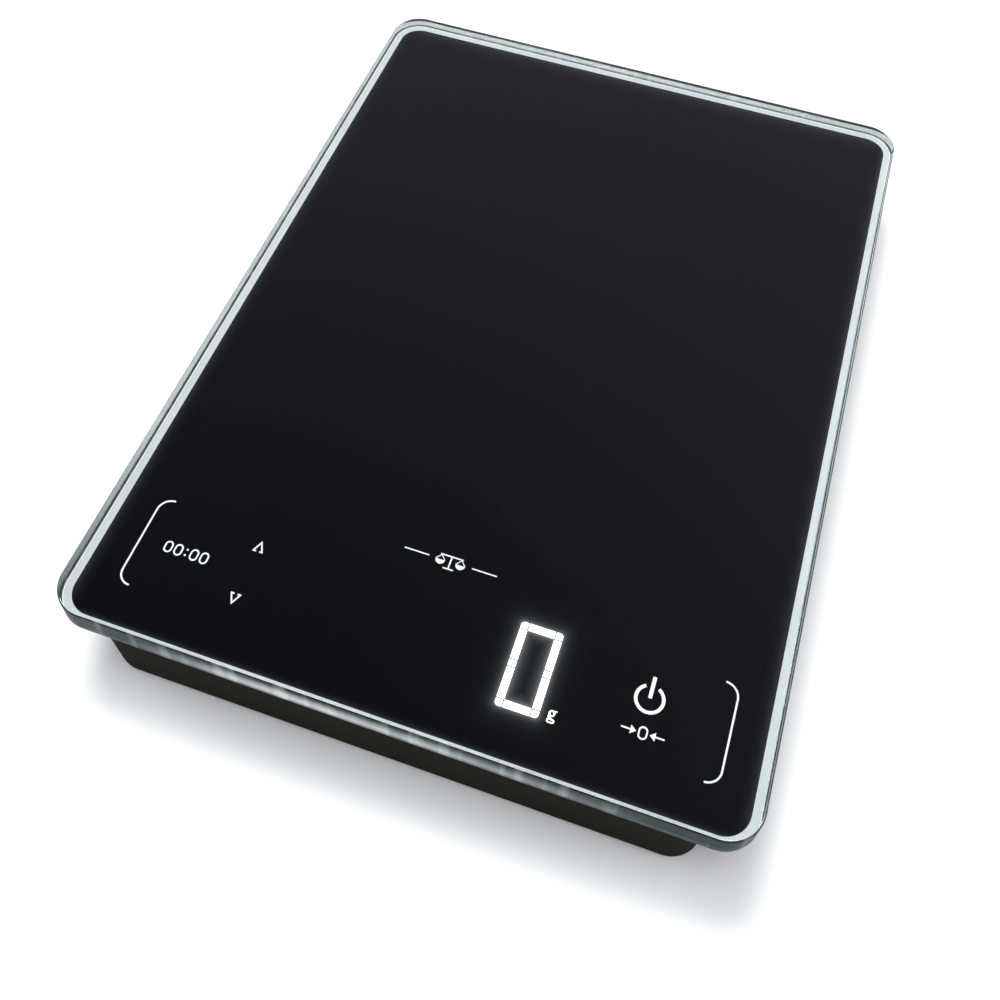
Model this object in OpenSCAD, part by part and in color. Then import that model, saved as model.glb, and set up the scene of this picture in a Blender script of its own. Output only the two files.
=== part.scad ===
// Slim glass-top kitchen scale.
// The glass platform is bonded to a shallow drafted housing that stands on four
// load-cell feet. The display edge faces -Y, the table plane is z = 0.

/* [Platform] */
// Width of the glass platform
platform_w = 190; // [180:1:210]
// Depth of the glass platform, front to back
platform_d = 260; // [250:1:280]
// Thickness of the glass
platform_t = 8; // [6:0.5:8]
// Plan radius of the glass corners
corner_r = 10; // [9:1:14]
// Width of the polished bevel round both glass faces
glass_bevel = 0.6; // [0.4:0.1:0.8]
// Width of the pale border left outside the black print
border_w = 2.8; // [2:0.1:3.5]

/* [Housing] */
// Distance from the glass edge to the top of the housing, left and right
housing_inset_x = 10; // [9:0.5:11]
// Distance from the glass edge to the top of the housing, front and back
housing_inset_y = 0.8; // [0.6:0.1:1.4]
// How far the housing walls lean in from top to bottom
housing_draft = 1.2; // [0.8:0.1:1.6]
// Plan radius of the housing corners at the top
housing_r = 10; // [9:1:13]
// Height of the housing wall
housing_h = 22.2; // [22:0.1:23]
// Wall and floor thickness of the housing
wall = 2; // [1.8:0.1:2.2]
// Clear height under the housing floor
foot_lift = 2; // [1.8:0.1:2.5]

/* [Feet] */
// Distance of the feet from the middle, left to right
foot_x = 57; // [56:0.5:58]
// Distance of the feet from the middle, front to back
foot_y = 98; // [97:0.5:99]
// Diameter of a foot cup
foot_d = 26; // [25:0.5:26]
// Free travel of a foot against its load cell
foot_travel = 0.35; // [0.3:0.05:0.4]

/* [Battery compartment] */
// Diameter of one cell
cell_d = 10.5; // [10:0.1:10.5]
// Length of one cell with its positive button
cell_l = 44.5; // [43.5:0.5:44.5]
// Position of the middle of the compartment, front to back
battery_y = 46; // [44:1:48]

/* [Display and keys] */
// Width of one digit
digit_w = 11.6; // [10:0.2:12]
// Height of one digit
digit_h = 23.8; // [22:0.2:24]
// Distance between neighbouring digits
digit_pitch = 15.6; // [15:0.2:16]

/* [Hidden] */
$fn = 48;
EPS = 0.01;

// Heights of the stack, from the table up
floor_z = foot_lift;
floor_top = floor_z + wall;
rim_z = floor_z + housing_h;
print_t = 0.2;
tape_t = 0.6;
tray_t = 2;
glass_z = rim_z + tape_t + print_t;
print_z = glass_z - print_t;
tray_z = rim_z - tray_t;

// Outline of the housing at its top, and of the tray inside it
housing_w = platform_w - 2 * housing_inset_x;
housing_d = platform_d - 2 * housing_inset_y;
fit_gap = 0.5;
tray_w = housing_w - 2 * wall - 2 * fit_gap;
tray_d = housing_d - 2 * wall - 2 * fit_gap;
tray_r = housing_r - wall - fit_gap;
print_r = corner_r - border_w;

// Feet and load cells
FEET = [[-foot_x, -foot_y], [foot_x, -foot_y], [-foot_x, foot_y], [foot_x, foot_y]];
FRONT_LEFT = FEET[0];
FRONT_RIGHT = FEET[1];
REAR_LEFT = FEET[2];
REAR_RIGHT = FEET[3];
foot_hole_d = foot_d + 1;
pad_d = foot_d - 4;
pad_t = 1.8;
pad_sink = 0.6;
cup_z = pad_t - pad_sink;
cell_z = 8;
cell_t = 1.5;
cell_side = 32;
cell_beam = 4;
tongue_w = 12;
pocket_side = cell_side + 4;
pin_d = 4;
pin_gap = 0.1;
retainer_z = cell_z + cell_t;
retainer_t = 2;
ear_reach = 22;
ear_d = 6.5;

// Fasteners
screw_d = 2.8;
screw_head_d = 5.2;
screw_head_t = 1.8;
boss_d = 8;
boss_top = 10;
HOUSING_SCREWS = [
  for (x = [-72, 72], y = [-62, 62]) [x, y],
  [0, -76], [0, 108]
];

// Battery compartment and its door
bay_w = 3 * cell_d + 3.5;
spring_room = 6.4;
bay_l = cell_l + spring_room + 1.6;
bay_wall = 1.2;
bay_top = 17.2;
cell_axis_z = 10.4;
door_w = bay_w + 8;
door_l = bay_l + 6;
door_gap = 0.3;
door_t = 1.7;
door_z = floor_top - door_t - 0.1;
hinge_y = battery_y + door_l / 2;
hinge_z = floor_z + 1.6;
hinge_r = 1.3;
hinge_pin_r = 0.8;
hinge_pin_gap = 0.05;
hinge_pin_l = 2;
hinge_clear = 1.8;
ledge_w = door_w + 2 * door_gap + 2.4;

// Main board, display and touch keys
board_w = 148;
board_d = 34;
board_t = 1.6;
board_y = -103;
board_x = -2;
board_z = 13.6;
board_top = board_z + board_t;
DIGITS = 4;
digit_x = 30.1;
digit_y = -102.6;
digit_stroke = 2.2;
window_w = DIGITS * digit_pitch + 8;
window_d = digit_h + 4;
window_x = digit_x - digit_pitch * (DIGITS - 1) / 2 + 2;
diffuser_t = 0.4;
reflector_top = print_z - 0.8;
TOUCH_KEYS = [[61.6, -100.1], [-67.6, -102.5], [-49.6, -94.5], [-49.6, -110.5]];
touch_d = 6.4;
BOARD_SCREWS = [[-70, -89], [-33, -116.5], [51, -116.5], [68, -89]];
button_x = 8;
button_y = -100;
button_d = 8;
button_travel = 0.3;
button_flange_d = 11;

// ---------------------------------------------------------------- shared shapes

// Flat rounded rectangle, centred on the origin
module rounded_rect(w, d, r) {
  square([w - 2 * r, d], center = true);
  square([w, d - 2 * r], center = true);
  for (x = [-1, 1], y = [-1, 1]) translate([x * (w / 2 - r), y * (d / 2 - r)]) circle(r);
}

module rounded_plate(w, d, r, h) {
  linear_extrude(h) rounded_rect(w, d, r);
}

// Rounded block of w by d at its top, whose sides lean in by draft at its bottom
module drafted_block(w, d, r, h, draft) {
  rotate([90, 0, 90]) linear_extrude(w - 2 * r, center = true)
    polygon([[draft - d / 2, 0], [d / 2 - draft, 0], [d / 2, h], [-d / 2, h]]);
  rotate([90, 0, 0]) linear_extrude(d - 2 * r, center = true)
    polygon([[draft - w / 2, 0], [w / 2 - draft, 0], [w / 2, h], [-w / 2, h]]);
  for (x = [-1, 1], y = [-1, 1])
    translate([x * (w / 2 - r), y * (d / 2 - r), 0]) cylinder(h = h, r1 = r - draft, r2 = r);
}

// Straight pan-head screw standing head down, its head's underside at z = 0
module pan_screw(length) {
  difference() {
    union() {
      translate([0, 0, -screw_head_t])
        cylinder(h = screw_head_t * 0.4, d1 = screw_head_d * 0.8, d2 = screw_head_d);
      translate([0, 0, -screw_head_t * 0.6]) cylinder(h = screw_head_t * 0.6, d = screw_head_d);
      cylinder(h = length - 1, d = screw_d);
      translate([0, 0, length - 1]) cylinder(h = 1, d1 = screw_d, d2 = screw_d * 0.45);
    }
    for (a = [0, 90]) rotate(a) translate([0, 0, -screw_head_t + 0.4]) cube([3, 0.7, 1], center = true);
  }
}

// Round wire through a list of points, with a ball at each bend
module wire(points, d) {
  for (i = [0:len(points) - 2]) {
    step = points[i + 1] - points[i];
    translate(points[i]) rotate([0, acos(step.z / norm(step)), atan2(step.y, step.x)])
      cylinder(h = norm(step), d = d, $fn = 24);
  }
  for (i = [1:len(points) - 2]) translate(points[i]) sphere(d = d, $fn = 24);
}

// Coil of round wire about +Z, from radius r1 at the bottom to r2 at the top
module coil(r1, r2, h, turns, wire_d) {
  sides = 5;
  steps = turns * 12;
  ring = function (i)
    let (
      a = 360 * turns * i / steps,
      r = r1 + (r2 - r1) * i / steps,
      z = wire_d / 2 + (h - wire_d) * i / steps
    )
    [for (j = [0:sides - 1])
      let (b = 360 * j / sides, q = r + wire_d / 2 * cos(b))
      [q * cos(a), q * sin(a), z + wire_d / 2 * sin(b)]];
  points = [for (i = [0:steps]) each ring(i)];
  skin = [for (i = [0:steps - 1], j = [0:sides - 1])
    let (k = (j + 1) % sides, p = i * sides, q = p + sides)
    each [[p + j, q + j, p + k], [p + k, q + j, q + k]]];
  start = [for (j = [0:sides - 1]) j];
  finish = [for (j = [sides - 1:-1:0]) steps * sides + j];
  polyhedron(points, concat(skin, [start, finish]), convexity = 6);
}

// ---------------------------------------------------------------- glass and print

module glass_platform() {
  color([0.8, 0.9, 0.9, 0.5]) translate([0, 0, glass_z]) {
    drafted_block(platform_w, platform_d, corner_r, glass_bevel, glass_bevel);
    translate([0, 0, glass_bevel])
      rounded_plate(platform_w, platform_d, corner_r, platform_t - 2 * glass_bevel);
    translate([0, 0, platform_t]) mirror([0, 0, 1])
      drafted_block(platform_w, platform_d, corner_r, glass_bevel, glass_bevel);
  }
}

// Key marks: ring with a bar for standby, arrows for the timer, and two side brackets
standby_r = 3.6;
mark_w = 0.9;
line_w = 0.6;
bracket_h = 26.8;
bracket_r = 3.8;
bracket_y = 27.5 - platform_d / 2;
left_bracket_x = 13.6 - platform_w / 2;
right_bracket_x = 177.4 - platform_w / 2;
arrow_w = 3.7;
arrow_h = 3.3;

module standby_mark() {
  difference() {
    circle(standby_r + mark_w / 2);
    circle(standby_r - mark_w / 2);
    translate([0, standby_r]) square([3.4, 4], center = true);
  }
  translate([0, 3.1]) square([1, 6], center = true);
}

// Side bracket with both ends turned toward +X
module bracket_mark() {
  translate([-line_w / 2, bracket_r - bracket_h / 2]) square([line_w, bracket_h - 2 * bracket_r]);
  for (s = [-1, 1]) translate([bracket_r, s * (bracket_h / 2 - bracket_r)]) intersection() {
    difference() {
      circle(bracket_r + line_w / 2);
      circle(bracket_r - line_w / 2);
    }
    scale([-1, s]) square(2 * bracket_r);
  }
}

module arrow_mark() {
  difference() {
    polygon([[-arrow_w / 2, 0], [arrow_w / 2, 0], [0, arrow_h]]);
    polygon([[-0.9, 0.5], [0.9, 0.5], [0, 2.1]]);
    translate([0, 0.3]) square([1.2, 0.8], center = true);
  }
}

module symbols_2d() {
  translate(TOUCH_KEYS[0]) standby_mark();
  translate([left_bracket_x, bracket_y]) bracket_mark();
  translate([right_bracket_x, bracket_y]) mirror([1, 0]) bracket_mark();
  translate(TOUCH_KEYS[2] - [0, arrow_h / 2]) arrow_mark();
  translate(TOUCH_KEYS[3] + [0, arrow_h / 2]) mirror([0, 1]) arrow_mark();
}

module black_print_layer() {
  color([0.05, 0.05, 0.06]) translate([0, 0, print_z]) linear_extrude(print_t) difference() {
    rounded_rect(platform_w - 2 * border_w, platform_d - 2 * border_w, print_r);
    symbols_2d();
    translate([window_x, digit_y]) square([window_w, window_d], center = true);
  }
}

module border_print_layer() {
  outer = 2 * glass_bevel;
  color([0.9, 0.93, 0.93]) translate([0, 0, print_z]) linear_extrude(print_t) difference() {
    rounded_rect(platform_w - outer, platform_d - outer, corner_r - glass_bevel);
    rounded_rect(platform_w - 2 * border_w, platform_d - 2 * border_w, print_r);
  }
}

module printed_symbols() {
  color("white") translate([0, 0, print_z]) linear_extrude(print_t) symbols_2d();
}

module display_window() {
  color([0.1, 0.1, 0.12]) translate([window_x - window_w / 2, digit_y - window_d / 2, print_z])
    cube([window_w, window_d, print_t]);
}

module adhesive_tape() {
  band = 8;
  color([0.15, 0.15, 0.15]) translate([0, 0, rim_z]) linear_extrude(tape_t) difference() {
    rounded_rect(tray_w - 1, tray_d - 1, tray_r - 0.5);
    for (s = [-1, 1]) translate([0, s * 42 + 18])
      square([tray_w - 2 * band, 84 - band], center = true);
    translate([0, board_y]) square([tray_w - 2 * band + 6, board_d - 4], center = true);
  }
}

// ---------------------------------------------------------------- housing

module upper_tray() {
  rib_t = 1.5;
  rib_h = 3;
  color([0.13, 0.13, 0.13]) difference() {
    union() {
      translate([0, 0, tray_z]) rounded_plate(tray_w, tray_d, tray_r, tray_t);
      for (p = HOUSING_SCREWS) translate([p.x, p.y, boss_top]) cylinder(h = tray_z - boss_top + EPS, d = 7);
      for (p = BOARD_SCREWS) translate([p.x, p.y, board_top]) cylinder(h = tray_z - board_top + EPS, d = 6);
      for (y = [-58, -20, 88]) translate([-70, y - rib_t / 2, tray_z - rib_h])
        cube([140, rib_t, rib_h + EPS]);
      for (x = [-44, 44]) translate([x - rib_t / 2, -80, tray_z - rib_h])
        cube([rib_t, 190, rib_h + EPS]);
    }
    translate([window_x - window_w / 2 - 0.5, digit_y - window_d / 2 - 0.5, tray_z - 1])
      cube([window_w + 1, window_d + 1, tray_t + 2]);
    for (p = TOUCH_KEYS) translate([p.x, p.y, tray_z - 1]) cylinder(h = tray_t + 2, d = touch_d + 2);
    for (p = HOUSING_SCREWS) translate([p.x, p.y, boss_top - EPS]) cylinder(h = 8, d = screw_d);
    for (p = BOARD_SCREWS) translate([p.x, p.y, board_top - EPS]) cylinder(h = 4.4, d = screw_d);
  }
}

// Screw ears of a load-cell pocket: both on the sides that face the middle of the housing
function ears(at) = [[-sign(at.x) * ear_reach, 0], [0, -sign(at.y) * ear_reach]];

// Pocket that carries one load cell, with a bore for the foot cup
module foot_pocket(at) {
  translate([-pocket_side / 2, -pocket_side / 2, floor_top - EPS])
    cube([pocket_side, pocket_side, retainer_z - floor_top + EPS]);
  for (e = ears(at)) translate([e.x, e.y, floor_top - EPS])
    cylinder(h = retainer_z - floor_top + EPS, d = ear_d);
}

module foot_pocket_cuts(at) {
  seat = cell_side + 0.4;
  translate([0, 0, floor_z - 1]) cylinder(h = cell_z - floor_z + 2, d = foot_hole_d);
  translate([-seat / 2, -seat / 2, cell_z]) cube([seat, seat, cell_t + 1]);
  for (e = ears(at)) translate([e.x, e.y, floor_top + 1]) cylinder(h = 8, d = screw_d);
}

module lower_housing() {
  inner_h = housing_h - wall;
  inner_draft = housing_draft * inner_h / housing_h;
  color([0.16, 0.16, 0.15]) difference() {
    union() {
      difference() {
        translate([0, 0, floor_z]) drafted_block(housing_w, housing_d, housing_r, housing_h, housing_draft);
        translate([0, 0, floor_top]) drafted_block(
          housing_w - 2 * wall, housing_d - 2 * wall, housing_r - wall, inner_h + EPS, inner_draft);
      }
      for (p = FEET) translate([p.x, p.y, 0]) foot_pocket(p);
      for (p = HOUSING_SCREWS) translate([p.x, p.y, floor_top - EPS])
        cylinder(h = boss_top - floor_top + EPS, d = boss_d);
      translate([-bay_w / 2 - bay_wall, battery_y - bay_l / 2 - bay_wall, floor_top - EPS])
        cube([bay_w + 2 * bay_wall, bay_l + 2 * bay_wall, bay_top - floor_top]);
      // ledge that the closed door meets all round
      translate([-ledge_w / 2, battery_y - door_l / 2 - 1.5, floor_top - EPS])
        cube([ledge_w, door_l + 1.5 - hinge_clear, bay_wall]);
      for (s = [-1, 1]) translate([s * (door_w / 2 + door_gap + 2) - 2, hinge_y - 3, floor_top - EPS])
        cube([4, 6, 2.5]);
      translate([button_x, button_y, floor_top - EPS]) cylinder(h = 3, d = button_flange_d + 4);
    }
    for (p = FEET) translate([p.x, p.y, 0]) foot_pocket_cuts(p);
    for (p = HOUSING_SCREWS) translate([p.x, p.y, 0]) {
      translate([0, 0, floor_z - 1]) cylinder(h = 5.5 + 1, d = screw_head_d + 1);
      translate([0, 0, floor_z]) cylinder(h = boss_top, d = screw_d + 0.4);
    }
    // bay, open downward
    translate([-bay_w / 2, battery_y - bay_l / 2, floor_z - 1])
      cube([bay_w, bay_l, bay_top - bay_wall - floor_z + 1]);
    // door opening through the floor, with room for the hinge barrel behind it
    translate([-door_w / 2 - door_gap, battery_y - door_l / 2 - door_gap, floor_z - 1])
      cube([door_w + 2 * door_gap, door_l + door_gap + hinge_clear, wall + 1]);
    translate([-door_w / 2 - door_gap, hinge_y - hinge_clear, floor_z - 1])
      cube([door_w + 2 * door_gap, 2 * hinge_clear, 5]);
    // hinge pin holes
    translate([0, hinge_y, hinge_z]) rotate([0, 90, 0])
      cylinder(h = door_w + 2 * hinge_pin_l + 0.8, r = hinge_pin_r + hinge_pin_gap, center = true);
    // finger notch in front of the door latch
    translate([0, battery_y - door_l / 2 - door_gap - 3, floor_z - 3.8]) rotate([0, 90, 0])
      cylinder(h = 14, r = 5, center = true);
    // button hole and its flange room
    translate([button_x, button_y, floor_z - 1]) cylinder(h = 8, d = button_d + 0.3);
    translate([button_x, button_y, floor_top]) cylinder(h = 8, d = button_flange_d + 0.6);
    // shallow recess for the rating label
    translate([-50, -48, floor_z - 1]) cube([100, 40, 1.2]);
  }
}

module battery_door() {
  color([0.17, 0.17, 0.16]) difference() {
    union() {
      translate([-door_w / 2, battery_y - door_l / 2, door_z]) cube([door_w, door_l, door_t]);
      translate([0, hinge_y, hinge_z]) rotate([0, 90, 0]) {
        cylinder(h = door_w, r = hinge_r, center = true);
        cylinder(h = door_w + 2 * hinge_pin_l, r = hinge_pin_r, center = true);
      }
      // ribs that steady the cells
      for (x = [-cell_d / 2 - 0.5, cell_d / 2 + 0.5])
        translate([x - 0.5, battery_y - 15, door_z + door_t - EPS]) cube([1, 30, 0.9]);
    }
    // slots that free the latch tongue
    for (s = [-1, 1]) translate([s * 7 - 0.5, battery_y - door_l / 2 - 1, door_z - 1])
      cube([1, 9, door_t + 3]);
    // thumb grooves
    for (i = [0:3]) translate([0, battery_y - door_l / 2 + 2.2 + i * 1.6, door_z])
      rotate([0, 90, 0]) cylinder(h = 9, r = 0.4, center = true, $fn = 24);
  }
}

// Foam strip on the inside of the door that presses on the cells
module door_seal() {
  color([0.3, 0.3, 0.32]) for (y = [-20, 16])
    translate([-bay_w / 2 + 3, battery_y + y, door_z + door_t]) cube([bay_w - 6, 4, 1.0]);
}

module rating_label() {
  color([0.8, 0.8, 0.82]) translate([-49, -47, floor_z + 0.05]) cube([98, 38, 0.15]);
}

// ---------------------------------------------------------------- batteries

// One AAA cell along +Y, its negative end at the origin
module battery_cell() {
  rotate([-90, 0, 0]) {
    color([0.75, 0.75, 0.77]) cylinder(h = 1.5, d = cell_d - 0.6);
    color([0.2, 0.25, 0.3]) translate([0, 0, 1.5]) cylinder(h = cell_l - 4.1, d = cell_d);
    color([0.75, 0.6, 0.35]) translate([0, 0, cell_l - 2.6]) cylinder(h = 1.6, d = cell_d - 0.6);
    color([0.8, 0.8, 0.8]) translate([0, 0, cell_l - 1]) cylinder(h = 1, d = 3.6);
  }
}

// The cells lie in alternate directions, so they join in series across the bay
cell_pitch = cell_d + 0.6;
cell_start = battery_y - bay_l / 2 + spring_room;
cell_finish = battery_y + bay_l / 2 - spring_room;

module placed_cell(i) {
  x = (i - 1) * cell_pitch;
  if (i == 1) translate([x, cell_finish, cell_axis_z]) rotate(180) battery_cell();
  else translate([x, cell_start, cell_axis_z]) battery_cell();
}

module battery_1() { placed_cell(0); }
module battery_2() { placed_cell(1); }
module battery_3() { placed_cell(2); }

plate_t = 0.4;
front_plate_y = battery_y - bay_l / 2;
rear_plate_y = battery_y + bay_l / 2 - plate_t;

module battery_springs() {
  color([0.8, 0.8, 0.82]) {
    for (x = [-cell_pitch, cell_pitch]) translate([x, front_plate_y + plate_t, cell_axis_z])
      rotate([-90, 0, 0]) coil(4, 2.2, spring_room - plate_t, 3, 0.6);
    translate([0, rear_plate_y, cell_axis_z]) rotate([90, 0, 0]) coil(4, 2.2, spring_room - plate_t, 3, 0.6);
  }
}

module battery_plates() {
  h = 9.5;
  z = cell_axis_z - h / 2;
  button_l = bay_l - cell_l - spring_room - plate_t;
  color([0.85, 0.85, 0.87]) {
    translate([-cell_pitch - 4.6, front_plate_y, z]) cube([9.2, plate_t, h]);
    translate([-4.8, front_plate_y, z]) cube([cell_pitch + 9.4, plate_t, h]);
    translate([-cell_pitch - 4.6, rear_plate_y, z]) cube([cell_pitch + 9.4, plate_t, h]);
    translate([cell_pitch - 4.6, rear_plate_y, z]) cube([9.2, plate_t, h]);
    // pressed contact cups that reach the positive buttons
    translate([0, front_plate_y + plate_t - EPS, cell_axis_z]) rotate([-90, 0, 0])
      cylinder(h = button_l, d1 = 6, d2 = 4);
    for (x = [-cell_pitch, cell_pitch]) translate([x, rear_plate_y + EPS, cell_axis_z])
      rotate([90, 0, 0]) cylinder(h = button_l, d1 = 6, d2 = 4);
  }
}

// ---------------------------------------------------------------- electronics

module main_board() {
  color([0.05, 0.35, 0.2]) difference() {
    translate([board_x - board_w / 2, board_y - board_d / 2, board_z]) cube([board_w, board_d, board_t]);
    for (p = BOARD_SCREWS) translate([p.x, p.y, board_z - 1]) cylinder(h = board_t + 2, d = screw_d + 0.3);
  }
}

module microcontroller() {
  side = 10;
  body_t = 1.3;
  color([0.12, 0.12, 0.13]) translate([-16, -103, board_z - body_t]) {
    translate([-side / 2, -side / 2, 0]) cube([side, side, body_t - 0.1]);
    for (a = [0:90:270]) rotate(a) for (i = [-5:5])
      translate([side / 2 - EPS, i * 0.8 - 0.15, body_t - 0.4]) cube([1, 0.3, 0.4]);
  }
}

module display_driver() {
  body_t = 1.5;
  color([0.12, 0.12, 0.13]) translate([24, -105, board_z - body_t]) {
    translate([-3, -6, 0]) cube([6, 12, body_t - 0.1]);
    for (s = [-1, 1], i = [-4:4])
      translate([s * 3.5 - 0.55, i * 1.27 - 0.2, body_t - 0.4]) cube([1.1, 0.4, 0.4]);
  }
}

// Small resistors and capacitors in rows under the board
module board_components() {
  color([0.6, 0.5, 0.35]) {
    for (i = [0:5]) translate([-6 + i * 2.6, -112, board_z - 0.6]) cube([1.6, 0.8, 0.6]);
    for (i = [0:4]) translate([-30, -112 + i * 3, board_z - 0.7]) cube([2, 1.2, 0.7]);
    for (i = [0:3]) translate([-8 + i * 4, -91, board_z - 0.9]) cube([2.4, 1.4, 0.9]);
    for (x = [-6, -1]) translate([x, -97, board_z - 5]) cylinder(h = 5, d = 4);
  }
}

module board_connectors() {
  color([0.92, 0.9, 0.85]) for (x = [-27, 8, 18]) translate([x, plug_y - 5, board_z - 4.5]) difference() {
    cube([9, 5, 4.5]);
    translate([1, -1, 1]) cube([7, 5, 2.4]);
  }
}

// Seven-segment outline of one digit, its middle at the origin
module digit_2d() {
  w = digit_w - digit_stroke;
  h = (digit_h - digit_stroke) / 2;
  joint = 0.35;
  for (i = [-1:1]) translate([0, i * h]) square([w - digit_stroke - 2 * joint, digit_stroke], center = true);
  for (x = [-1, 1], y = [-1, 1]) translate([x * w / 2, y * h / 2])
    square([digit_stroke, h - 2 * joint], center = true);
}

module display_cells_2d() {
  for (i = [0:DIGITS - 1]) translate([digit_x - i * digit_pitch, digit_y]) digit_2d();
  translate([digit_x + digit_w / 2 + 3.2, digit_y - digit_h / 2 + 1.8]) square([2.2, 3.6], center = true);
}

module display_reflector() {
  h = reflector_top - board_top;
  color([0.93, 0.93, 0.93]) translate([0, 0, board_top]) linear_extrude(h) difference() {
    translate([window_x, digit_y]) square([window_w - 1, window_d - 1], center = true);
    display_cells_2d();
  }
}

module display_leds() {
  w = digit_w - digit_stroke;
  h = (digit_h - digit_stroke) / 2;
  led = [1.6, 0.8, 0.7];
  color([1, 1, 0.8]) {
    for (i = [0:DIGITS - 1]) translate([digit_x - i * digit_pitch, digit_y, board_top + led.z / 2]) {
      for (j = [-1:1]) translate([0, j * h, 0]) cube(led, center = true);
      for (x = [-1, 1], y = [-1, 1]) translate([x * w / 2, y * h / 2, 0]) cube(led, center = true);
    }
    translate([digit_x + digit_w / 2 + 3.2, digit_y - digit_h / 2 + 1.8, board_top + led.z / 2])
      cube(led, center = true);
  }
}

module display_diffuser() {
  color([0.95, 0.95, 0.95]) translate([window_x, digit_y, reflector_top + diffuser_t / 2])
    cube([window_w - 1, window_d - 1, diffuser_t], center = true);
}

// Springs that carry each touch key from the board to the back of the print
module touch_springs() {
  color([0.85, 0.7, 0.4]) for (p = TOUCH_KEYS) translate([p.x, p.y, board_top])
    coil(touch_d / 2 - 0.3, touch_d / 2 - 0.3, print_z - board_top, 5, 0.5);
}

module buzzer() {
  color([0.1, 0.1, 0.1]) translate([-36.5, -101, board_top]) difference() {
    cylinder(h = 4, d = 9.6);
    translate([0, 0, 3]) cylinder(h = 2, d = 1.6);
  }
}

switch_z = board_z - 3.4;
plunger_d = 3;

module switch_body() {
  color([0.2, 0.2, 0.2]) translate([button_x, button_y, switch_z]) difference() {
    translate([-3, -3, 0]) cube([6, 6, board_z - switch_z]);
    translate([0, 0, -1]) cylinder(h = 2.6, d = plunger_d + 0.16);
  }
}

module switch_plunger() {
  color([0.8, 0.3, 0.1]) translate([button_x, button_y, switch_z - 1]) cylinder(h = 2, d = plunger_d);
}

module unit_button() {
  color([0.35, 0.35, 0.35]) translate([button_x, button_y, 0]) {
    translate([0, 0, floor_z + 0.4]) cylinder(h = 0.4, d1 = button_d - 0.8, d2 = button_d);
    translate([0, 0, floor_z + 0.8]) cylinder(h = wall - 0.8 + 0.2, d = button_d);
    translate([0, 0, floor_top + 0.1]) cylinder(h = 1, d = button_flange_d);
    translate([0, 0, floor_top + 1]) cylinder(h = switch_z - 1 - floor_top - 1, d = 4);
  }
}

// ---------------------------------------------------------------- load cells and feet

// Stamped steel cell: an outer frame and a tongue that carries the foot pin
module load_cell(at) {
  inner = cell_side - 2 * cell_beam;
  color([0.7, 0.7, 0.72]) translate([at.x, at.y, cell_z]) linear_extrude(cell_t) difference() {
    rounded_rect(cell_side, cell_side, 3);
    difference() {
      square([inner, inner], center = true);
      translate([-tongue_w / 2, -inner / 2 - 1]) square([tongue_w, inner * 0.8 + 1]);
    }
    circle(d = pin_d + 2 * pin_gap);
  }
}

module cell_retainer(at) {
  opening = cell_side - 2 * cell_beam;
  color([0.2, 0.2, 0.2]) translate([at.x, at.y, retainer_z]) linear_extrude(retainer_t)
    difference() {
      union() {
        rounded_rect(pocket_side, pocket_side, 2);
        for (e = ears(at)) {
          translate(e) circle(d = ear_d);
          translate(e * 0.85) rotate(atan2(e.y, e.x)) square([ear_reach * 0.3, ear_d], center = true);
        }
      }
      square([opening, opening], center = true);
      for (e = ears(at)) translate(e) circle(d = screw_d + 0.3);
    }
}

module strain_gauges() {
  color([0.8, 0.55, 0.3]) for (p = FEET) translate([p.x - 2.5, p.y - 9.5, retainer_z]) cube([5, 6, 0.15]);
}

// Moving foot: a cup under the floor, a stem below the cell tongue and a pin through it
module foot_cup(at) {
  shoulder = cell_z - foot_travel - 0.05;
  color([0.14, 0.14, 0.14]) translate([at.x, at.y, 0]) difference() {
    union() {
      translate([0, 0, cup_z]) cylinder(h = 0.5, d1 = foot_d - 1, d2 = foot_d);
      translate([0, 0, cup_z + 0.5]) cylinder(h = 2.5, d = foot_d);
      translate([0, 0, cup_z + 3 - EPS]) cylinder(h = shoulder - cup_z - 3 + EPS, d = 9);
      translate([0, 0, shoulder - EPS]) cylinder(h = retainer_z + 1 - shoulder, d = pin_d);
      translate([0, 0, retainer_z + 0.1]) cylinder(h = 0.9, d1 = pin_d + 1.2, d2 = pin_d - 0.6);
    }
    translate([0, 0, cup_z - 1]) cylinder(h = pad_sink + 1, d = pad_d + 0.2);
  }
}

module foot_pad(at) {
  color([0.25, 0.25, 0.26]) translate([at.x, at.y, 0]) difference() {
    union() {
      cylinder(h = 0.5, d1 = pad_d - 1, d2 = pad_d);
      translate([0, 0, 0.5]) cylinder(h = pad_t - 0.5, d = pad_d);
    }
    for (d = [8, 14]) translate([0, 0, -1]) difference() {
      cylinder(h = 1.3, d = d + 1.2);
      cylinder(h = 1.4, d = d);
    }
  }
}

module load_cell_front_left() { load_cell(FRONT_LEFT); }
module load_cell_front_right() { load_cell(FRONT_RIGHT); }
module load_cell_rear_left() { load_cell(REAR_LEFT); }
module load_cell_rear_right() { load_cell(REAR_RIGHT); }
module cell_retainer_front_left() { cell_retainer(FRONT_LEFT); }
module cell_retainer_front_right() { cell_retainer(FRONT_RIGHT); }
module cell_retainer_rear_left() { cell_retainer(REAR_LEFT); }
module cell_retainer_rear_right() { cell_retainer(REAR_RIGHT); }
module foot_cup_front_left() { foot_cup(FRONT_LEFT); }
module foot_cup_front_right() { foot_cup(FRONT_RIGHT); }
module foot_cup_rear_left() { foot_cup(REAR_LEFT); }
module foot_cup_rear_right() { foot_cup(REAR_RIGHT); }
module foot_pad_front_left() { foot_pad(FRONT_LEFT); }
module foot_pad_front_right() { foot_pad(FRONT_RIGHT); }
module foot_pad_rear_left() { foot_pad(REAR_LEFT); }
module foot_pad_rear_right() { foot_pad(REAR_RIGHT); }

// ---------------------------------------------------------------- fasteners and wires

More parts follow.
